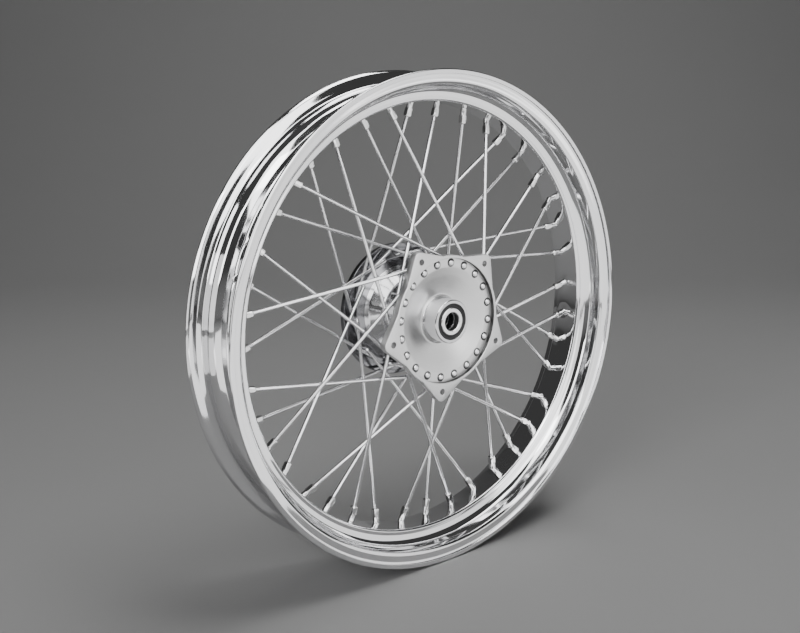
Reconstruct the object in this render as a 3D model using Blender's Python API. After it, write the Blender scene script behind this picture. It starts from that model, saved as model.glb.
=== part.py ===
"""Spoked motorcycle front wheel, 19 x 2.50 in steel rim, 40 spokes, five-lobed brake-disc hub.

Frame: metres, +Z up, the axle along Y. The brake-disc side is at -Y (called near here), the other
side at +Y (far). The origin is on the axle line in the rim's centre plane.
All dimensions below are in millimetres and are turned into metres by MM.
"""

import math

import bmesh
import bpy
from mathutils import Vector

MM = 0.001

# Rim, 19 x 2.50 in with a dropped centre
RIM_R = 256.5  # to the top of the flanges
BEAD_SEAT_R = 242.5  # 19 in seat
WELL_R = 226.4  # tyre side of the dropped centre
WELL_IN_R = 224.0  # spoke side of the dropped centre
RIM_HALF_W = 42.0
RIM_SEGMENTS = 60
VALVE_R = 4.2
VALVE_ANGLE = 96.75
VALVE_Y = 6.25

# Lacing: four spokes to each repeat of 36 degrees, 72 degrees of wrap between hub hole and rim hole
SPOKES = 40
FIRST_RIM_HOLE = 29.25
WRAP = 72.0
HUB_HOLE_PCR = 59.6
SPOKE_R = 1.8
NIPPLE_R = 3.2
NIPPLE_LEN = 17.0
NIPPLE_HEAD_R = 4.6
RIM_HOLE_R = 4.2
HUB_HOLE_R = 2.5
HEAD_R = 3.3
RIM_HOLE_Y = {-1: 4.5, 1: 8.0}  # by winding direction
ELBOW_Y = {("near", -1): -27.6, ("near", 1): -22.8, ("far", -1): 36.4, ("far", 1): 41.0}

# Hub
NEAR_END, FAR_END = -45.8, 50.3
PLATE_NEAR = (-35.7, -31.2)  # outer and inner face of the spoke flange
PLATE_FAR = (47.5, 43.5)
RECESS_R = 64.7
DISC_FACE_Y = -40.4
LOBES = 5
LOBE_ANGLE = 47.25
DISC_PCR = 73.7
DISC_HOLE_R = 3.25
LOBE_CENTRE_R, LOBE_TIP_R = 77.2, 7.0
STAR_ROUND_R = 67.8
LOBE_FLANK = 24.0  # degrees either side of a lobe where its flank leaves the round
FAR_FLANGE_R = 71.8
BARREL_R = 27.5
BOSS_R = 22.6
HUB_SEGMENTS = 28

# Bearings, 19.05 x 37 x 9, and what sits with them
SEAT_R = 18.8
RACE_OUT_R, RACE_OUT_IN_R = 18.5, 16.2
RACE_IN_R, BORE_R = 12.3, 9.7
BALL_R, BALL_PITCH_R, BALLS = 2.5, 14.25, 7
SEAL_R, SEAL_IN_R = 18.5, 14.6
COLLAR_R = 14.2
MIRROR_Y = 4.5  # far y = MIRROR_Y - near y
RING_SEGMENTS = 20


def clear_scene():
    for obj in list(bpy.data.objects):
        bpy.data.objects.remove(obj, do_unlink=True)


def material(name, colour, metallic, roughness):
    mat = bpy.data.materials.new(name)
    mat.use_nodes = True
    shader = mat.node_tree.nodes["Principled BSDF"]
    shader.inputs["Base Color"].default_value = (*colour, 1.0)
    shader.inputs["Metallic"].default_value = metallic
    shader.inputs["Roughness"].default_value = roughness
    return mat


def add_object(name, bm, mat, smooth_angle=35.0):
    bmesh.ops.recalc_face_normals(bm, faces=bm.faces)
    if bm.calc_volume(signed=True) < 0:
        bmesh.ops.reverse_faces(bm, faces=bm.faces)
    mesh = bpy.data.meshes.new(name)
    bm.to_mesh(mesh)
    bm.free()
    mesh.shade_smooth()
    mesh.set_sharp_from_angle(angle=math.radians(smooth_angle))
    if mat:
        mesh.materials.append(mat)
    obj = bpy.data.objects.new(name, mesh)
    bpy.context.scene.collection.objects.link(obj)
    return obj


def lathe(bm, profile, segments, phase=0.0):
    """A closed profile of (y, r) points in mm, turned about the Y axis."""
    rings = []
    for i in range(segments):
        a = math.radians(phase) + 2 * math.pi * i / segments
        ca, sa = math.cos(a), math.sin(a)
        rings.append([bm.verts.new((r * ca * MM, y * MM, r * sa * MM)) for y, r in profile])
    n = len(profile)
    for i in range(segments):
        a, b = rings[i], rings[(i + 1) % segments]
        for j in range(n):
            k = (j + 1) % n
            bm.faces.new((a[j], a[k], b[k], b[j]))


def loft(bm, rings):
    """Rings of vertices joined one to the next, with a flat cap at each end."""
    made = [[bm.verts.new(p) for p in ring] for ring in rings]
    n = len(made[0])
    for a, b in zip(made, made[1:]):
        for j in range(n):
            k = (j + 1) % n
            bm.faces.new((a[j], a[k], b[k], b[j]))
    bm.faces.new(made[0])
    bm.faces.new(list(reversed(made[-1])))


def ring_points(centre, u, v, radius, sides, phase=0.0):
    return [
        (centre + u * (radius * math.cos(phase + 2 * math.pi * i / sides)) + v * (radius * math.sin(phase + 2 * math.pi * i / sides))) * MM
        for i in range(sides)
    ]


def rod(bm, start, end, radius, sides):
    d = (end - start).normalized()
    side = d.cross(Vector((0, 1, 0)))
    if side.length < 1e-6:
        side = Vector((1, 0, 0))
    u = side.normalized()
    v = d.cross(u)
    loft(bm, [ring_points(start, u, v, radius, sides), ring_points(end, u, v, radius, sides)])


def boolean(obj, cutter, operation):
    mod = obj.modifiers.new(cutter.name, "BOOLEAN")
    mod.operation = operation
    mod.solver = "EXACT"
    mod.object = cutter
    cutter.hide_render = True
    cutter.display_type = "WIRE"


def polar(radius, angle_deg, y):
    a = math.radians(angle_deg)
    return Vector((radius * math.cos(a), y, radius * math.sin(a)))


def lacing():
    """(side, direction, hub hole centre, elbow, rim hole centre) of each spoke, in order round the rim."""
    table = (("near", -1), ("far", -1), ("near", 1), ("far", 1))
    out = []
    for i in range(SPOKES):
        side, turn = table[i % 4]
        a = FIRST_RIM_HOLE + 9.0 * i
        hub_angle = a + turn * WRAP
        plate = PLATE_NEAR if side == "near" else PLATE_FAR
        out.append(
            (
                side,
                turn,
                polar(HUB_HOLE_PCR, hub_angle, plate[0]),
                polar(HUB_HOLE_PCR, hub_angle, ELBOW_Y[side, turn]),
                polar((WELL_R + WELL_IN_R) / 2, a, RIM_HOLE_Y[turn]),
            )
        )
    return out


def make_spoke(name, side, hub, elbow, rim, mat):
    """Head on the outer face of the spoke flange, elbow behind it, shank, and the nipple screwed on the end."""
    out = -1.0 if side == "near" else 1.0
    axis = Vector((0, out, 0))
    d = (rim - elbow).normalized()
    v = axis.cross(d).normalized()
    u0 = v.cross(axis)
    u1 = v.cross(-d)
    length = (rim - elbow).length
    head_under = hub + axis * 0.35
    nipple_from = elbow + d * (length - NIPPLE_LEN)
    # the head of the nipple stands clear of the dropped centre, which it meets at a slant
    radial = Vector((rim.x, 0, rim.z)).normalized()
    slant = math.acos(min(1.0, d.dot(radial)))
    lift = (WELL_R - (WELL_R + WELL_IN_R) / 2 + 0.45 + NIPPLE_HEAD_R * math.sin(slant)) / math.cos(slant)
    seat = rim + d * lift
    bend = 2.4
    rings = [
        (hub + axis * 2.3, u0, 2.0),
        (head_under, u0, HEAD_R),
        (head_under, u0, SPOKE_R),
        (elbow + axis * bend, u0, SPOKE_R),
        (elbow + d * bend, u1, SPOKE_R),
        (nipple_from, u1, SPOKE_R),
        (nipple_from, u1, NIPPLE_R - 0.3),
        (seat, u1, NIPPLE_R),
        (seat, u1, NIPPLE_HEAD_R),
        (seat + d * 2.4, u1, NIPPLE_HEAD_R - 1.6),
    ]
    bm = bmesh.new()
    loft(bm, [ring_points(c, u, v, r, 6) for c, u, r in rings])
    obj = add_object(name, bm, mat, 50.0)
    return obj


def make_rim(mat):
    half = [  # (y, r) on the tyre side from the middle out, then back along the spoke side
        (13.2, WELL_R),
        (20.3, 239.4),
        (22.8, 241.3),
        (32.5, BEAD_SEAT_R),
        (35.0, 246.6),
        (37.0, 254.0),
        (39.6, RIM_R),
        (RIM_HALF_W, 254.6),
        (41.6, 251.2),
        (39.4, 252.4),
        (37.2, 245.0),
        (34.8, 240.4),
        (21.6, 238.5),
        (12.8, WELL_IN_R),
    ]
    profile = half + [(-y, r) for y, r in reversed(half)]
    bm = bmesh.new()
    lathe(bm, profile, RIM_SEGMENTS)
    rim = add_object("rim", bm, mat, 40.0)
    bm = bmesh.new()
    for _, _, _, elbow, hole in lacing():
        d = (hole - elbow).normalized()
        rod(bm, hole - d * 7.0, hole + d * 7.0, RIM_HOLE_R, 6)
    valve = polar(225.0, VALVE_ANGLE, VALVE_Y)
    d = polar(1.0, VALVE_ANGLE, 0.0)
    rod(bm, valve - d * 8.0, valve + d * 8.0, VALVE_R, 12)
    boolean(rim, add_object("cut_rim_holes", bm, None), "DIFFERENCE")
    return rim


def star_outline():
    """The disc flange's outline: a round with five lobes, each with straight flanks and a round tip."""
    pts = []
    for k in range(LOBES):
        mid = LOBE_ANGLE + 72.0 * k
        p = Vector((STAR_ROUND_R * math.cos(math.radians(LOBE_FLANK)), STAR_ROUND_R * math.sin(math.radians(LOBE_FLANK))))
        c = Vector((LOBE_CENTRE_R, 0.0))
        to = c - p
        # direction of the tangent point on the tip circle, seen from its centre
        base = math.atan2(-to.y, -to.x)
        swing = math.acos(LOBE_TIP_R / to.length)
        start = base - swing
        local = []
        arcs = 6
        for i in range(arcs + 1):
            a = start * (1 - 2 * i / arcs)
            local.append((c.x + LOBE_TIP_R * math.cos(a), c.y + LOBE_TIP_R * math.sin(a)))
        local.reverse()
        local = [(p.x, -p.y)] + local + [(p.x, p.y)]
        m = math.radians(mid)
        pts += [(x * math.cos(m) - z * math.sin(m), x * math.sin(m) + z * math.cos(m)) for x, z in local]
        for extra in (30.0, 36.0, 42.0):
            a = math.radians(mid + extra)
            pts.append((STAR_ROUND_R * math.cos(a), STAR_ROUND_R * math.sin(a)))
    return pts


def make_hub(mat):
    seat_near = [(NEAR_END, SEAT_R), (-39.7, SEAT_R), (-39.7, 20.0), (-37.9, 20.0), (-37.9, SEAT_R), (-28.6, SEAT_R), (-28.6, 17.2)]
    seat_far = [(MIRROR_Y - y, r) for y, r in seat_near]
    outer = [
        (NEAR_END, 21.9),
        (-45.0, BOSS_R),
        (-27.5, 23.2),
        (-26.0, 27.5),
        (-30.4, 42.0),
        (PLATE_NEAR[0], 55.5),
        (PLATE_NEAR[0], RECESS_R),
        (-40.1, RECESS_R),
        (-40.1, 67.4),
        (PLATE_NEAR[1], 67.4),
        (PLATE_NEAR[1], 56.0),
        (-20.5, 35.0),
        (-9.0, 28.4),
        (12.0, BARREL_R),
        (26.0, 33.0),
        (PLATE_FAR[1], 56.0),
        (PLATE_FAR[1], FAR_FLANGE_R),
        (50.0, FAR_FLANGE_R),
        (50.0, RECESS_R),
        (PLATE_FAR[0], RECESS_R),
        (PLATE_FAR[0], 55.5),
        (42.6, 42.0),
        (38.0, 27.5),
        (39.5, 23.2),
        (49.5, BOSS_R),
        (FAR_END, 21.9),
    ]
    bm = bmesh.new()
    lathe(bm, outer + seat_far + list(reversed(seat_near)), HUB_SEGMENTS, 0.0)
    hub = add_object("hub", bm, mat, 32.0)

    # the lobed plate that carries the brake disc, open in the middle
    bm = bmesh.new()
    outline = star_outline()
    inner = [(65.8 * math.cos(2 * math.pi * i / 40), 65.8 * math.sin(2 * math.pi * i / 40)) for i in range(40)]
    y0, y1 = DISC_FACE_Y, -31.8
    loft(bm, [[Vector((x, y, z)) * MM for x, z in outline] for y in (y0, y1)])
    plate = add_object("add_disc_plate", bm, None)
    bm = bmesh.new()
    loft(bm, [[Vector((x, y, z)) * MM for x, z in inner] for y in (y0 - 3.0, y1 + 3.0)])
    boolean(plate, add_object("cut_disc_plate", bm, None), "DIFFERENCE")
    boolean(hub, plate, "UNION")

    # spoke holes along Y through both flanges, and the disc's bolt holes
    bm = bmesh.new()
    for side, _, hole, _, _ in lacing():
        plate_y = PLATE_NEAR if side == "near" else PLATE_FAR
        lo, hi = min(plate_y) - 3.0, max(plate_y) + 3.0
        rod(bm, Vector((hole.x, lo, hole.z)), Vector((hole.x, hi, hole.z)), HUB_HOLE_R, 6)
    for k in range(LOBES):
        c = polar(DISC_PCR, LOBE_ANGLE + 72.0 * k, 0.0)
        rod(bm, c + Vector((0, DISC_FACE_Y - 4.0, 0)), c + Vector((0, -27.0, 0)), DISC_HOLE_R, 12)
    boolean(hub, add_object("cut_hub_holes", bm, None), "DIFFERENCE")
    return hub


def make_ring(name, near, profile, mat, segments=RING_SEGMENTS):
    """A turned ring given on the near side; the far one is its mirror image about the bearings' middle."""
    pts = profile if near else [(MIRROR_Y - y, r) for y, r in profile]
    bm = bmesh.new()
    lathe(bm, pts, segments)
    return add_object(name, bm, mat)


def make_cage(name, near, mat):
    """The cage ring with its balls held in it, as one piece that rolls between the races."""
    y = -33.4 if near else MIRROR_Y + 33.4
    bm = bmesh.new()
    lathe(bm, [(y - 1.6, 13.4), (y + 1.6, 13.4), (y + 1.6, 15.2), (y - 1.6, 15.2)], 14)
    cage = add_object(name, bm, mat)
    for i in range(BALLS):
        bm = bmesh.new()
        bmesh.ops.create_icosphere(bm, subdivisions=1, radius=BALL_R * MM)
        centre = polar(BALL_PITCH_R, 360.0 * i / BALLS + 11.25, y) * MM
        bmesh.ops.translate(bm, verts=bm.verts, vec=centre)
        boolean(cage, add_object(f"add_{name}_ball_{i}", bm, None), "UNION")
    return cage


def make_retaining_ring(name, near, mat):
    """An internal snap ring: an open C whose gap lets it be squeezed into its groove."""
    y0, y1 = (-39.4, -38.2) if near else (MIRROR_Y + 38.2, MIRROR_Y + 39.4)
    bm = bmesh.new()
    steps, gap = 26, 12.0
    rings = []
    for i in range(steps + 1):
        a = math.radians(270.0 + gap + (360.0 - 2 * gap) * i / steps)
        ca, sa = math.cos(a), math.sin(a)
        rings.append([Vector((r * ca, y, r * sa)) * MM for y, r in ((y0, 16.7), (y1, 16.7), (y1, 19.55), (y0, 19.55))])
    loft(bm, rings)
    return add_object(name, bm, mat)


def main():
    clear_scene()
    chrome = material("chrome", (0.72, 0.72, 0.73), 1.0, 0.08)
    cast = material("machined_aluminium", (0.62, 0.62, 0.62), 1.0, 0.32)
    bright = material("plated_spoke", (0.66, 0.66, 0.67), 1.0, 0.18)
    steel = material("bearing_steel", (0.45, 0.45, 0.46), 1.0, 0.25)
    white = material("bright_steel", (0.8, 0.8, 0.8), 1.0, 0.22)
    rubber = material("black_rubber", (0.02, 0.02, 0.02), 0.0, 0.55)

    make_rim(chrome)
    make_hub(cast)
    count = {"near": 0, "far": 0}
    for side, _, hub, elbow, hole in lacing():
        count[side] += 1
        make_spoke(f"spoke_{side}_{count[side]:02d}", side, hub, elbow, hole, bright)
    for near in (True, False):
        end = "near" if near else "far"
        mid = -33.4
        make_ring(f"bearing_outer_race_{end}", near, [(-37.9, RACE_OUT_R), (-28.9, RACE_OUT_R), (-28.9, RACE_OUT_IN_R), (mid + 2.6, RACE_OUT_IN_R), (mid, 17.15), (mid - 2.6, RACE_OUT_IN_R), (-37.9, RACE_OUT_IN_R)], steel)
        make_ring(f"bearing_inner_race_{end}", near, [(-37.9, RACE_IN_R), (mid - 2.6, RACE_IN_R), (mid, 11.35), (mid + 2.6, RACE_IN_R), (-28.9, RACE_IN_R), (-28.9, BORE_R), (-37.9, BORE_R)], steel)
        make_cage(f"ball_cage_{end}", near, steel)
        make_ring(f"seal_{end}", near, [(-45.4, SEAL_R), (-40.0, SEAL_R), (-40.0, SEAL_IN_R), (-44.4, SEAL_IN_R), (-45.4, 15.6)], rubber)
        make_ring(f"axle_collar_{end}", near, [(-46.0, 13.6), (-45.4, COLLAR_R), (-38.2, COLLAR_R), (-38.2, BORE_R), (-46.0, BORE_R)], white)
        make_retaining_ring(f"bearing_retaining_ring_{end}", near, steel)
    make_ring("spacer_tube", True, [(-28.6, 12.0), (MIRROR_Y + 28.6, 12.0), (MIRROR_Y + 28.6, BORE_R), (-28.6, BORE_R)], steel)


main()
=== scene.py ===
"""Looks for the spoked motorcycle wheel: fine rim, hub, spokes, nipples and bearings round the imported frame."""

import math

import bmesh
import bpy
from mathutils import Matrix, Vector


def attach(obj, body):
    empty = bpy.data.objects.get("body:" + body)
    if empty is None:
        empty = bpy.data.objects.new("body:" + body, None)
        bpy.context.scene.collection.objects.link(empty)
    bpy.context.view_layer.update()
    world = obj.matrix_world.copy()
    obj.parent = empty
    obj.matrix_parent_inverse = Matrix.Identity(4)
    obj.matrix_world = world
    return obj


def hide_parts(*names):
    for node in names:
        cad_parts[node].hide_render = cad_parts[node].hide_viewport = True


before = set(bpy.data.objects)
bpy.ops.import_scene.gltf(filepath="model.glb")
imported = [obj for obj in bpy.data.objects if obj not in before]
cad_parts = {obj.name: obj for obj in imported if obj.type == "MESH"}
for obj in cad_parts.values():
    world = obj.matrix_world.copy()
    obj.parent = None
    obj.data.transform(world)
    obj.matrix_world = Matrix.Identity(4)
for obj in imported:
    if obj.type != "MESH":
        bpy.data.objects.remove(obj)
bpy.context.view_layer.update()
MM = 0.001

# ---------------------------------------------------------------- camera
AZ, EL = math.radians(-40.230), math.radians(11.901)
PAN, TILT = math.radians(1.266), math.radians(4.822)
DISTANCE, FOCAL_PX = 4.3356 * 0.2565, 1050.7
back = Vector((math.sin(AZ) * math.cos(EL), -math.cos(AZ) * math.cos(EL), math.sin(EL)))
right = Vector((math.cos(AZ), math.sin(AZ), 0.0))
up = back.cross(right)
forward = -back
turn = Matrix.Rotation(PAN, 3, up)
forward, right = turn @ forward, turn @ right
turn = Matrix.Rotation(TILT, 3, right)
forward, up = turn @ forward, turn @ up
cam_data = bpy.data.cameras.new("camera")
cam_data.sensor_width = 36.0
cam_data.lens = FOCAL_PX / 800.0 * 36.0
cam_data.shift_y = -90.5 / 800.0
cam_data.clip_end = 60.0
camera = bpy.data.objects.new("camera", cam_data)
place = Matrix.Identity(4)
for row in range(3):
    place[row][0], place[row][1], place[row][2] = right[row], up[row], -forward[row]
    place[row][3] = back[row] * DISTANCE
camera.matrix_world = place
bpy.context.scene.collection.objects.link(camera)
bpy.context.scene.camera = camera


# ---------------------------------------------------------------- materials
def shader_of(name, colour, metallic, roughness):
    mat = bpy.data.materials.new(name)
    mat.use_nodes = True
    nodes, links = mat.node_tree.nodes, mat.node_tree.links
    bsdf = nodes["Principled BSDF"]
    bsdf.inputs["Base Color"].default_value = (*colour, 1.0)
    bsdf.inputs["Metallic"].default_value = metallic
    bsdf.inputs["Roughness"].default_value = roughness
    coords = nodes.new("ShaderNodeTexCoord")
    return mat, nodes, links, bsdf, coords.outputs["Object"]


def noise(nodes, links, vector, scale, detail=3.0, rough=0.55):
    tex = nodes.new("ShaderNodeTexNoise")
    tex.inputs["Scale"].default_value = scale
    tex.inputs["Detail"].default_value = detail
    tex.inputs["Roughness"].default_value = rough
    links.new(vector, tex.inputs["Vector"])
    return tex.outputs["Fac"]


def span(nodes, links, value, low, high, lo_in=0.3, hi_in=0.7):
    node = nodes.new("ShaderNodeMapRange")
    node.inputs["From Min"].default_value = lo_in
    node.inputs["From Max"].default_value = hi_in
    node.inputs["To Min"].default_value = low
    node.inputs["To Max"].default_value = high
    links.new(value, node.inputs["Value"])
    return node.outputs["Result"]


def math_node(nodes, links, op, a, b=None):
    node = nodes.new("ShaderNodeMath")
    node.operation = op
    for i, v in enumerate((a, b)):
        if v is None:
            continue
        if isinstance(v, (int, float)):
            node.inputs[i].default_value = v
        else:
            links.new(v, node.inputs[i])
    return node.outputs[0]


def tint(nodes, links, value, dark, light, target):
    mix = nodes.new("ShaderNodeMix")
    mix.data_type = "RGBA"
    mix.inputs["A"].default_value = (*dark, 1.0)
    mix.inputs["B"].default_value = (*light, 1.0)
    links.new(value, mix.inputs["Factor"])
    links.new(mix.outputs["Result"], target)


def bump(nodes, links, height, bsdf, strength, distance):
    node = nodes.new("ShaderNodeBump")
    node.inputs["Strength"].default_value = strength
    node.inputs["Distance"].default_value = distance
    links.new(height, node.inputs["Height"])
    links.new(node.outputs["Normal"], bsdf.inputs["Normal"])


def radius_about_axle(nodes, links, coords):
    split = nodes.new("ShaderNodeSeparateXYZ")
    links.new(coords, split.inputs[0])
    xx = math_node(nodes, links, "MULTIPLY", split.outputs["X"], split.outputs["X"])
    zz = math_node(nodes, links, "MULTIPLY", split.outputs["Z"], split.outputs["Z"])
    return math_node(nodes, links, "SQRT", math_node(nodes, links, "ADD", xx, zz)), split


def rings(nodes, links, coords, pitch_mm, blur=0.35):
    """Fine turning marks: a noise read along the radius and the axle only."""
    r, split = radius_about_axle(nodes, links, coords)
    join = nodes.new("ShaderNodeCombineXYZ")
    links.new(math_node(nodes, links, "MULTIPLY", r, 1000.0 / pitch_mm), join.inputs["X"])
    links.new(math_node(nodes, links, "MULTIPLY", split.outputs["Y"], 1000.0 / pitch_mm), join.inputs["Y"])
    return noise(nodes, links, join.outputs[0], 1.0, 2.0, blur)


def chrome(name, colour, low, high, wave=0.00004):
    mat, nodes, links, bsdf, coords = shader_of(name, colour, 1.0, low)
    haze = noise(nodes, links, coords, 38.0, 5.0, 0.6)
    links.new(span(nodes, links, haze, low, high), bsdf.inputs["Roughness"])
    tint(nodes, links, noise(nodes, links, coords, 9.0), tuple(c * 0.95 for c in colour), colour, bsdf.inputs["Base Color"])
    bump(nodes, links, noise(nodes, links, coords, 26.0, 2.0), bsdf, 0.35, wave)
    return mat


def satin(name, dark, light, rough_low, rough_high, pitch, depth):
    mat, nodes, links, bsdf, coords = shader_of(name, light, 1.0, rough_low)
    marks = rings(nodes, links, coords, pitch)
    patch = noise(nodes, links, coords, 45.0, 4.0)
    both = math_node(nodes, links, "MULTIPLY", math_node(nodes, links, "ADD", marks, patch), 0.5)
    tint(nodes, links, both, dark, light, bsdf.inputs["Base Color"])
    links.new(span(nodes, links, both, rough_low, rough_high), bsdf.inputs["Roughness"])
    bump(nodes, links, marks, bsdf, 0.5, depth)
    return mat


def rubber_material():
    mat, nodes, links, bsdf, coords = shader_of("seal_rubber_black", (0.016, 0.016, 0.017), 0.0, 0.5)
    grain = noise(nodes, links, coords, 900.0, 3.0)
    tint(nodes, links, noise(nodes, links, coords, 60.0), (0.010, 0.010, 0.011), (0.026, 0.026, 0.028), bsdf.inputs["Base Color"])
    links.new(span(nodes, links, grain, 0.42, 0.62), bsdf.inputs["Roughness"])
    bump(nodes, links, grain, bsdf, 0.3, 0.00008)
    return mat


CHROME = chrome("rim_chrome", (0.83, 0.83, 0.84), 0.035, 0.085)
BARREL = chrome("hub_polished", (0.60, 0.60, 0.61), 0.08, 0.17)
# a darker copy of the polished hub chrome for the far flange's inner face: painted shade
FAR_FLANGE_PAINTED_SHADE = chrome("far_flange_polished_painted_shade", (0.26, 0.26, 0.27), 0.10, 0.2)
PLATED = chrome("spoke_plated", (0.82, 0.82, 0.83), 0.16, 0.28, 0.00002)
NIPPLE = chrome("nipple_plated", (0.78, 0.78, 0.78), 0.10, 0.22, 0.00002)
FACE = satin("hub_satin_face", (0.60, 0.60, 0.60), (0.74, 0.74, 0.74), 0.34, 0.46, 0.5, 0.00002)
DISHED = satin("hub_satin_dish", (0.56, 0.56, 0.56), (0.70, 0.70, 0.70), 0.30, 0.42, 0.7, 0.00002)
COLLAR = satin("collar_ground", (0.78, 0.78, 0.78), (0.90, 0.90, 0.90), 0.22, 0.34, 0.3, 0.00001)
# near-black satin for the spoke-head cups and the inner wall of the star's recess: painted shade
POCKET_PAINTED_SHADE = satin("hub_pocket_painted_shade", (0.07, 0.07, 0.07), (0.13, 0.13, 0.13), 0.35, 0.5, 0.6, 0.00002)
STEEL = satin("bearing_ground", (0.36, 0.36, 0.37), (0.52, 0.52, 0.53), 0.2, 0.32, 0.3, 0.00001)
RUBBER = rubber_material()


# ---------------------------------------------------------------- mesh helpers
def make(name, verts, faces, mats, body, smooth=38.0, pick=None):
    mesh = bpy.data.meshes.new(name)
    mesh.from_pydata([tuple(v) for v in verts], [], faces)
    mesh.validate()
    bm = bmesh.new()
    bm.from_mesh(mesh)
    bmesh.ops.recalc_face_normals(bm, faces=bm.faces)
    if bm.calc_volume(signed=True) < 0:
        bmesh.ops.reverse_faces(bm, faces=bm.faces)
    bm.to_mesh(mesh)
    bm.free()
    for m in mats:
        mesh.materials.append(m)
    if pick:
        for poly in mesh.polygons:
            poly.material_index = pick(poly.center)
    mesh.shade_smooth()
    mesh.set_sharp_from_angle(angle=math.radians(smooth))
    obj = bpy.data.objects.new(name, mesh)
    bpy.context.scene.collection.objects.link(obj)
    if body:
        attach(obj, body)
    return obj


def rounded(points, steps=4):
    """A closed outline of (a, b, fillet radius), with each corner that has a radius rounded off."""
    out, n = [], len(points)
    for i in range(n):
        p = Vector(points[i][:2])
        rad = points[i][2] if len(points[i]) > 2 else 0.0
        if rad <= 0:
            out.append((p.x, p.y))
            continue
        a, b = Vector(points[i - 1][:2]) - p, Vector(points[(i + 1) % n][:2]) - p
        la, lb = a.length, b.length
        a, b = a / la, b / lb
        half = math.acos(max(-1.0, min(1.0, a.dot(b)))) / 2
        cut = min(rad / max(math.tan(half), 1e-3), 0.48 * la, 0.48 * lb)
        s, e = p + a * cut, p + b * cut
        for k in range(steps + 1):
            t = k / steps
            q = s * (1 - t) ** 2 + p * (2 * t * (1 - t)) + e * t**2
            out.append((q.x, q.y))
    return out


def divided(points, most):
    out, n = [], len(points)
    for i in range(n):
        a, b = points[i], points[(i + 1) % n]
        count = max(1, math.ceil(math.hypot(b[0] - a[0], b[1] - a[1]) / most))
        out += [(a[0] + (b[0] - a[0]) * k / count, a[1] + (b[1] - a[1]) * k / count) for k in range(count)]
    return out


def turned(name, profile, mats, body, segments=96, shape=None, smooth=38.0, pick=None):
    """The outline turned about the axle. shape(angle, y, r) may move a point."""
    verts, faces, n = [], [], len(profile)
    for i in range(segments):
        a = 2 * math.pi * i / segments
        for y, r in profile:
            if shape:
                y, r = shape(a, y, r)
            verts.append((r * math.cos(a) * MM, y * MM, r * math.sin(a) * MM))
    for i in range(segments):
        j = (i + 1) % segments
        for k in range(n):
            m = (k + 1) % n
            faces.append((i * n + k, i * n + m, j * n + m, j * n + k))
    return make(name, verts, faces, mats, body, smooth, pick)


def swept(name, stations, sides, mats, body, smooth=38.0):
    """stations: (centre, u, v, radius, power); power 2 is a round section, more is a squarer one."""
    verts, faces = [], []
    for centre, u, v, radius, power in stations:
        for i in range(sides):
            a = 2 * math.pi * i / sides
            c, s = math.cos(a), math.sin(a)
            r = radius / (abs(c) ** power + abs(s) ** power) ** (1.0 / power) if power > 2 else radius
            verts.append((centre + u * (r * c) + v * (r * s)) * MM)
    for k in range(len(stations) - 1):
        for i in range(sides):
            j = (i + 1) % sides
            faces.append((k * sides + i, k * sides + j, (k + 1) * sides + j, (k + 1) * sides + i))
    faces.append(tuple(range(sides)))
    last = (len(stations) - 1) * sides
    faces.append(tuple(last + i for i in reversed(range(sides))))
    return make(name, verts, faces, mats, body, smooth)


def cutter(name, rods):
    """Closed rods of (start, end, radius, sides), as one object that only cuts."""
    verts, faces = [], []
    for start, end, radius, sides in rods:
        base = len(verts)
        for y in (start.y, end.y):
            for i in range(sides):
                a = 2 * math.pi * i / sides
                verts.append(Vector((start.x + radius * math.cos(a), y, start.z + radius * math.sin(a))) * MM)
        for i in range(sides):
            j = (i + 1) % sides
            faces.append((base + i, base + j, base + sides + j, base + sides + i))
        faces.append(tuple(base + i for i in reversed(range(sides))))
        faces.append(tuple(base + sides + i for i in range(sides)))
    mesh = bpy.data.meshes.new(name)
    mesh.from_pydata([tuple(v) for v in verts], [], faces)
    bm = bmesh.new()
    bm.from_mesh(mesh)
    bmesh.ops.recalc_face_normals(bm, faces=bm.faces)
    bm.to_mesh(mesh)
    bm.free()
    obj = bpy.data.objects.new(name, mesh)
    bpy.context.scene.collection.objects.link(obj)
    return obj


def cut(obj, tool, smooth=38.0):
    """The cut is applied, and the tool removed, so nothing but the piece is left."""
    mod = obj.modifiers.new("cut", "BOOLEAN")
    mod.operation, mod.solver, mod.object = "DIFFERENCE", "EXACT", tool
    graph = bpy.context.evaluated_depsgraph_get()
    mesh = bpy.data.meshes.new_from_object(obj.evaluated_get(graph))
    obj.modifiers.clear()
    old, obj.data = obj.data, mesh
    bpy.data.meshes.remove(old)
    bpy.data.objects.remove(tool, do_unlink=True)
    mesh.shade_smooth()
    mesh.set_sharp_from_angle(angle=math.radians(smooth))


def polar(radius, degrees, y):
    a = math.radians(degrees)
    return Vector((radius * math.cos(a), y, radius * math.sin(a)))


# ---------------------------------------------------------------- lacing, as the CAD has it
RIM_HOLE_Y = {-1: 4.5, 1: 8.0}
ELBOW_Y = {("near", -1): -27.6, ("near", 1): -22.8, ("far", -1): 36.4, ("far", 1): 41.0}
FACE_Y = {"near": -35.7, "far": 47.5}
lacing = []
counted = {"near": 0, "far": 0}
for i in range(40):
    side, way = (("near", -1), ("far", -1), ("near", 1), ("far", 1))[i % 4]
    angle = 29.25 + 9.0 * i
    hub_angle = angle + way * 72.0
    counted[side] += 1
    lacing.append({
        "name": f"{side}_{counted[side]:02d}", "side": side, "way": way, "angle": angle % 360.0, "hub_angle": hub_angle,
        "face": polar(59.6, hub_angle, FACE_Y[side]), "elbow": polar(59.6, hub_angle, ELBOW_Y[side, way]),
        "rim": polar(225.2, angle, RIM_HOLE_Y[way]),
    })


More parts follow.
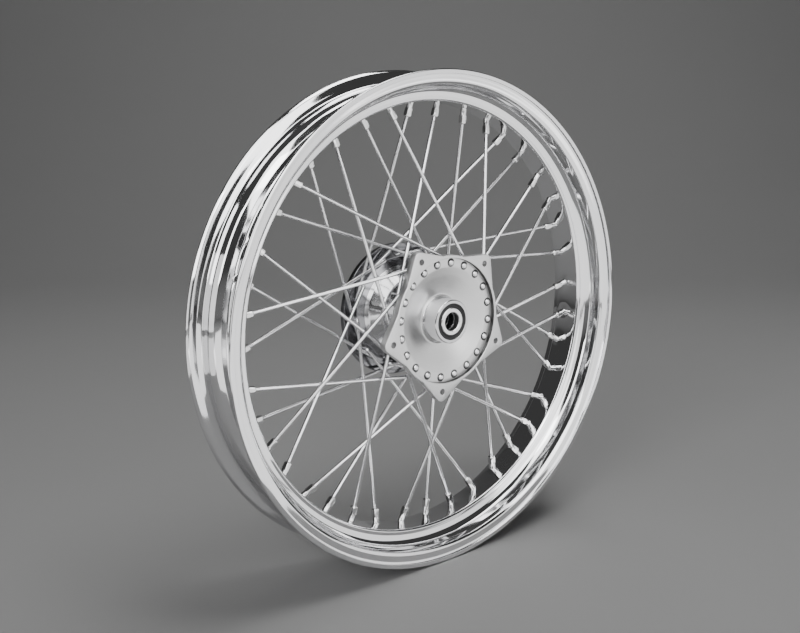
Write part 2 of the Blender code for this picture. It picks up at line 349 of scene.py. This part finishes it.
# ---------------------------------------------------------------- rim
def dimpled(a, y, r):
    """The well is pressed in towards the hub round each nipple."""
    if r > 232.0 or abs(y) > 15.5:
        return y, r
    deg = math.degrees(a)
    k = round((deg - 29.25) / 9.0)
    hole_y = RIM_HOLE_Y[(-1, -1, 1, 1)[k % 4]]
    along = math.radians(deg - (29.25 + 9.0 * k)) * 225.0
    d2 = along**2 + ((y - hole_y) * 1.05) ** 2
    edge = max(0.0, 1.0 - max(0.0, abs(y) - 11.0) / 4.5)
    return y, r - (1.5 if r > 225.2 else 0.7) * math.exp(-d2 / 42.0) * edge


half = [
    (12.9, 226.4, 3.5), (15.2, 232.4, 6.0), (18.6, 238.4, 6.0), (23.5, 241.5, 5.0), (32.9, 242.5, 3.2), (35.2, 247.4, 6.0),
    (36.9, 253.8, 3.0), (39.6, 256.5, 1.8), (41.98, 255.6, 1.3), (41.9, 251.2, 0.45), (40.7, 251.0, 0.45),
    (39.9, 253.6, 1.5), (38.4, 249.6, 4.0), (37.4, 243.6, 3.0), (35.4, 240.7, 2.2), (29.5, 240.1, 8.0),
    (22.8, 238.6, 8.0), (18.2, 234.2, 7.0), (16.2, 229.4, 2.5), (16.4, 226.0, 1.8), (14.4, 224.1, 1.8), (11.6, 224.0, 3.0),
]
outline = rounded(half + [(-y, r, f) for y, r, f in reversed(half)], 5)
fine = []
for p, q in zip(outline, outline[1:] + outline[:1]):
    reach = 1.7 if max(p[1], q[1]) < 228.0 else 5.0
    count = max(1, math.ceil(math.hypot(q[0] - p[0], q[1] - p[1]) / reach))
    fine += [(p[0] + (q[0] - p[0]) * k / count, p[1] + (q[1] - p[1]) * k / count) for k in range(count)]
rim = turned("rim_shell", fine, [CHROME], "wheel", 480, dimpled, 50.0)
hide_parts("rim")

# ---------------------------------------------------------------- hub
near_seat = [(-45.8, 18.8, 0.4), (-39.7, 18.8), (-39.7, 20.0), (-37.9, 20.0), (-37.9, 18.8), (-28.6, 18.8), (-28.6, 17.1)]
far_seat = [(4.5 - p[0], p[1]) for p in near_seat]
body_outline = [
    (-45.8, 21.7, 0.5), (-44.9, 22.6, 0.5), (-29.5, 22.9, 1.0), (-25.6, 25.2, 4.0), (-28.4, 34.0, 8.0), (-32.9, 46.5, 9.0),
    (-35.7, 55.4, 7.0), (-35.7, 65.3), (-40.0, 65.3), (-40.0, 67.2), (-31.4, 67.2, 0.8), (-31.2, 56.0, 6.0),
    (-22.5, 38.0, 9.0), (-14.0, 30.6, 9.0), (0.0, 28.4, 10.0), (14.0, 29.0, 9.0), (26.0, 33.4, 9.0), (36.4, 44.0, 9.0),
    (43.5, 56.0, 5.0), (43.5, 71.8, 0.8), (50.0, 71.8, 0.8), (50.0, 64.7, 0.6), (47.5, 64.7, 0.8), (47.5, 55.4, 6.0),
    (44.4, 46.5, 8.0), (40.0, 34.0, 7.0), (37.6, 25.4, 4.0), (41.0, 22.9, 1.0), (49.4, 22.6, 0.5), (50.3, 21.7, 0.5),
]


def hub_pick(c):
    r = math.hypot(c.x, c.z) / MM
    y = c.y / MM
    # the inner face of the far flange takes the darker chrome copy: painted shade
    if 22.0 < y < 46.9 and r > 47.0:
        return 4
    if y < -30.9 and r > 57.0:
        return 1
    if r > 24.2 and (y < -24.0 and y < -25.0 - (r - 25.0) * 0.30 + 1.4 and y < -22.0) and not (y > -31.0 and r > 53.0):
        return 2
    return 0


hub = turned(
    "hub_casting", divided(rounded(body_outline + [(y, r, 0.0) for y, r in far_seat] + list(reversed(near_seat)), 5), 5.0),
    [BARREL, FACE, DISHED, POCKET_PAINTED_SHADE, FAR_FLANGE_PAINTED_SHADE], "wheel", 200, None, 40.0, hub_pick,
)
holes = []
for s in lacing:
    f, out = s["face"], (-1.0 if s["side"] == "near" else 1.0)
    holes.append((Vector((f.x, f.y - out * 0.9, f.z)), Vector((f.x, f.y + out * 3.0, f.z)), 4.55, 20))
cut(hub, cutter("tool", holes), 40.0)
for poly in hub.data.polygons:  # the cups that the spoke heads sit in, floor and wall, are painted near-black: painted shade in the cups
    c = poly.center / MM
    if (-35.62 < c.y < -34.7 or 46.5 < c.y < 47.42) and math.hypot(c.x, c.z) > 55.9 and any(
        math.hypot(c.x - s["face"].x, c.z - s["face"].z) < 4.7 for s in lacing
    ):
        poly.material_index = 3
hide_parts("hub")


def star_radius(deg):
    """The lobed outline: a round, five lobes with straight flanks, and a soft corner between the two."""
    best = 67.8
    off = (deg - 47.25 + 36.0) % 72.0 - 36.0
    a = abs(math.radians(off))
    px, pz = 67.8 * math.cos(math.radians(24.0)), 67.8 * math.sin(math.radians(24.0))
    # the tip: a circle of 7 about r 77.2
    inside = 49.0 - (77.2 * math.sin(a)) ** 2
    tip = 77.2 * math.cos(a) + math.sqrt(inside) if inside > 0 else 0.0
    # the flank: the line from the round, tangent to the tip circle
    to = Vector((77.2 - px, -pz))
    swing = math.asin(7.0 / to.length)
    line = math.atan2(to.y, to.x) + swing
    lx, lz = math.cos(line), math.sin(line)
    touch = Vector((px, pz)) + Vector((lx, lz)) * math.sqrt(to.length**2 - 49.0)
    touch_angle = math.atan2(touch.y, touch.x)
    cross = lx * math.sin(a) - lz * math.cos(a)
    flank = (lx * pz - lz * px) / cross if abs(cross) > 1e-6 else 0.0
    if a <= touch_angle:
        return tip
    if a < math.radians(24.0):
        return max(best, flank)
    return best


raw = [star_radius(i * 0.5) for i in range(720)]
for _ in range(6):
    raw = [(raw[i - 1] + 2 * raw[i] + raw[(i + 1) % 720]) / 4 for i in range(720)]
verts, faces = [], []
for i in range(720):
    a, ro = math.radians(i * 0.5), raw[i]
    section = [
        (-35.6, 64.7), (-40.05, 64.7), (-40.4, 65.05), (-40.4, 66.3), (-40.4, ro - 0.9), (-40.25, ro - 0.35), (-39.8, ro),
        (-32.4, ro), (-31.95, ro - 0.3), (-31.8, ro - 0.9), (-31.8, 66.0), (-31.8, 63.0),
    ]
    verts += [(r * math.cos(a) * MM, y * MM, r * math.sin(a) * MM) for y, r in section]
n = 12
for i in range(720):
    j = (i + 1) % 720
    for k in range(n):
        m = (k + 1) % n
        faces.append((i * n + k, i * n + m, j * n + m, j * n + k))
# the inner wall of the star's round recess takes the near-black material: painted shade
star = make(
    "disc_flange", verts, faces, [FACE, POCKET_PAINTED_SHADE], "wheel", 35.0,
    lambda c: 1 if math.hypot(c.x, c.z) / MM < 64.95 and c.y / MM > -40.1 else 0,
)
bolts = []
for k in range(5):
    c = polar(73.7, 47.25 + 72.0 * k, 0.0)
    bolts.append((Vector((c.x, -45.0, c.z)), Vector((c.x, -27.0, c.z)), 3.25, 32))
cut(star, cutter("tool", bolts), 35.0)

# ---------------------------------------------------------------- spokes and nipples
for s in lacing:
    out = -1.0 if s["side"] == "near" else 1.0
    axis = Vector((0, out, 0))
    d = (s["rim"] - s["elbow"]).normalized()
    v = axis.cross(d).normalized()
    u_head, u_shank = v.cross(axis), v.cross(-d)
    r = 1.86
    st = []
    for lift, rad in ((2.25, 0.9), (2.1, 1.9), (1.75, 2.7), (1.2, 3.2), (0.5, 3.42), (-0.1, 3.4), (-0.5, 2.9), (-0.5, r)):
        st.append((s["face"] + axis * lift, u_head, v, rad, 2))
    bend = 4.2
    start, corner, end = s["elbow"] + axis * bend, s["elbow"], s["elbow"] + d * bend
    for k in range(9):
        t = k / 8
        p = start * (1 - t) ** 2 + corner * (2 * t * (1 - t)) + end * t**2
        tangent = ((corner - start) * (1 - t) + (end - corner) * t).normalized()
        st.append((p, v.cross(-tangent), v, r, 2))
    length = (s["rim"] - s["elbow"]).length
    for f in (0.25, 0.5, 0.75):
        st.append((s["elbow"] + d * (length * f), u_shank, v, r, 2))
    for k in range(8):  # the last turns of thread show where the wire enters the nipple
        at = s["elbow"] + d * (length - 22.5 + 0.75 * k)
        st.append((at, u_shank, v, r - (0.16 if k % 2 else 0.0), 2))
    st.append((s["rim"] - d * 6.0, u_shank, v, r - 0.1, 2))
    wire = swept("spoke_wire_" + s["name"], st, 16, [PLATED], "wheel", 45.0)
    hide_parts("spoke_" + s["name"])
    st = []
    for at, rad, power in (
        (-17.0, 2.0, 2), (-17.1, 2.5, 2), (-16.8, 2.95, 2), (-16.2, 3.15, 4), (-15.6, 3.2, 6), (-12.0, 3.2, 6), (-8.4, 3.2, 6),
        (-7.8, 3.25, 4), (-7.2, 3.4, 2), (-3.0, 3.42, 2), (0.6, 3.42, 2), (1.4, 3.6, 2), (2.7, 4.7, 2), (3.3, 4.75, 2), (3.9, 4.4, 2), (4.3, 3.5, 2), (4.45, 2.0, 2),
    ):
        st.append((s["rim"] + d * (at - 0.9), u_shank, v, rad, power))
    swept("nipple_" + s["name"], st, 24, [NIPPLE], "wheel", 40.0)

# ---------------------------------------------------------------- bearings, seals and collars
for end in ("near", "far"):
    def at(points):
        return points if end == "near" else [(4.5 - p[0],) + tuple(p[1:]) for p in points]

    race = turned("bearing_race_outer_" + end, rounded(at([(-37.9, 18.5, 0.5), (-28.9, 18.5, 0.5), (-28.9, 16.2, 0.3), (-31.2, 16.2), (-32.4, 16.9), (-33.4, 17.1), (-34.4, 16.9), (-35.6, 16.2), (-37.9, 16.2, 0.3)])), [STEEL], "wheel", 72)
    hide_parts("bearing_outer_race_" + end)
    race = turned("bearing_race_inner_" + end, rounded(at([(-37.9, 12.3, 0.3), (-35.6, 12.3), (-34.4, 11.6), (-33.4, 11.4), (-32.4, 11.6), (-31.2, 12.3), (-28.9, 12.3, 0.3), (-28.9, 9.62, 0.4), (-37.9, 9.62, 0.4)])), [STEEL], "axle_set", 72)
    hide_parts("bearing_inner_race_" + end)
    seal = turned("seal_lip_" + end, rounded(at([(-45.3, 18.6, 0.5), (-40.0, 18.6, 0.3), (-40.0, 14.9, 0.3), (-43.4, 14.45, 0.4), (-44.9, 14.4, 0.3), (-45.35, 15.0, 0.3), (-44.6, 15.6, 0.3), (-44.5, 16.9, 0.3), (-45.2, 17.3, 0.3)])), [RUBBER], "wheel", 96)
    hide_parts("seal_" + end)
    collar = turned("collar_" + end, rounded(at([(-46.0, 13.5, 0.4), (-45.3, 14.15, 0.4), (-38.2, 14.15, 0.3), (-38.2, 9.62, 0.3), (-45.3, 9.62, 0.2), (-46.0, 10.2, 0.2)])), [COLLAR], "axle_set", 96)
    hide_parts("axle_collar_" + end)
    for mat_node in ("ball_cage_" + end, "bearing_retaining_ring_" + end):
        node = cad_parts[mat_node]
        node.data.materials.clear()
        node.data.materials.append(STEEL)
tube = turned("spacer_tube_fine", rounded([(-28.6, 12.0, 0.4), (33.1, 12.0, 0.4), (33.1, 9.62, 0.3), (-28.6, 9.62, 0.3)]), [STEEL], "axle_set", 72)
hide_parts("spacer_tube")

# ---------------------------------------------------------------- floor and light
# One sweep of paper: a flat floor, a wide curve, and a wall far behind, square to the line of sight.
sweep_profile = [(-3.0, 0.0)]
for k in range(0, 41):
    sweep_profile.append((-3.0 + 4.6 * k / 40, 0.0))
for k in range(1, 25):
    a = math.radians(90.0 * k / 24)
    sweep_profile.append((1.6 + 1.6 * math.sin(a), 1.6 * (1 - math.cos(a))))
sweep_profile.append((3.2, 4.5))
sweep_profile = sweep_profile[1:]
along = Vector((math.sin(-AZ), math.cos(AZ), 0.0))
across = Vector((math.cos(AZ), math.sin(AZ), 0.0))
verts, faces, cols = [], [], 25
for s, z in sweep_profile:
    for c in range(cols):
        p = along * s + across * (-4.5 + 9.0 * c / (cols - 1))
        verts.append((p.x, p.y, z - 0.2566))
for i in range(len(sweep_profile) - 1):
    for c in range(cols - 1):
        faces.append((i * cols + c, i * cols + c + 1, (i + 1) * cols + c + 1, (i + 1) * cols + c))
mesh = bpy.data.meshes.new("paper_sweep")
mesh.from_pydata(verts, [], faces)
mesh.shade_smooth()
floor = bpy.data.objects.new("paper_sweep", mesh)
bpy.context.scene.collection.objects.link(floor)
mat, nodes, links, bsdf, coords = shader_of("floor_paper", (0.42, 0.42, 0.42), 0.0, 0.7)
tint(nodes, links, noise(nodes, links, coords, 3.0), (0.412, 0.412, 0.412), (0.428, 0.428, 0.428), bsdf.inputs["Base Color"])
bsdf.inputs["Specular IOR Level"].default_value = 0.15
mesh.materials.append(mat)

world = bpy.data.worlds.new("studio")
bpy.context.scene.world = world
world.use_nodes = True
wn, wl = world.node_tree.nodes, world.node_tree.links
coord = wn.new("ShaderNodeTexCoord")
split = wn.new("ShaderNodeSeparateXYZ")
wl.new(coord.outputs["Generated"], split.inputs[0])
ramp = wn.new("ShaderNodeValToRGB")
ramp.color_ramp.elements[0].position = 0.0
ramp.color_ramp.elements[0].color = (0.16, 0.16, 0.16, 1)
ramp.color_ramp.elements[1].position = 1.0
ramp.color_ramp.elements[1].color = (0.06, 0.06, 0.06, 1)
for pos, val in ((0.08, 0.12), (0.14, 0.05), (0.4, 0.05), (0.7, 0.05)):
    e = ramp.color_ramp.elements.new(pos)
    e.color = (val, val, val, 1)
wl.new(split.outputs["Z"], ramp.inputs["Fac"])
wl.new(ramp.outputs["Color"], wn["Background"].inputs["Color"])
wn["Background"].inputs["Strength"].default_value = 1.0


def panel(name, place, aim, width, height, radiance, on_floor=True):
    """A soft panel of the given brightness, so that a mirror shows it at that tone."""
    data = bpy.data.lights.new(name, "AREA")
    data.shape = "RECTANGLE"
    data.size, data.size_y, data.energy = width, height, radiance * math.pi * width * height
    obj = bpy.data.objects.new(name, data)
    obj.location = place
    obj.rotation_euler = (Vector(aim) - Vector(place)).to_track_quat("-Z", "Y").to_euler()
    obj.visible_diffuse = on_floor
    obj.visible_camera = False
    bpy.context.scene.collection.objects.link(obj)


panel("panel_front_high", (-0.10, -2.0, 1.05), (0, 0, 0), 1.7, 1.25, 4.0, False)
panel("panel_front_right", (1.15, -1.35, 0.24), (0, 0, 0.0), 2.1, 0.98, 1.35, False)
panel("panel_front_low", (0.15, -0.98, -0.245), (0.15, -0.98, 1.0), 2.4, 1.30, 1.35, False)
panel("panel_front_mid", (0.0, -1.95, 0.10), (0, 0, 0.0), 1.9, 0.70, 1.4, False)
panel("panel_front_top", (-0.80, -1.05, 1.62), (0, 0, 0.0), 1.5, 1.3, 4.0, False)
panel("panel_left_mid", (-1.9, -0.10, 0.26), (0, 0, 0.1), 1.4, 0.98, 1.3, False)
panel("panel_left_floor", (-1.15, -0.10, -0.245), (-1.15, -0.10, 1.0), 0.9, 1.0, 0.9, False)
panel("panel_front_left", (-2.1, -1.0, 1.1), (0, 0, 0), 1.2, 1.4, 4.2)
panel("panel_overhead", (0.45, -0.45, 2.1), (0, 0, 0), 1.3, 0.9, 5.6)
panel("panel_backdrop", (0.75, 0.95, 2.3), (1.25, 1.55, -0.2), 0.9, 0.7, 3.6)
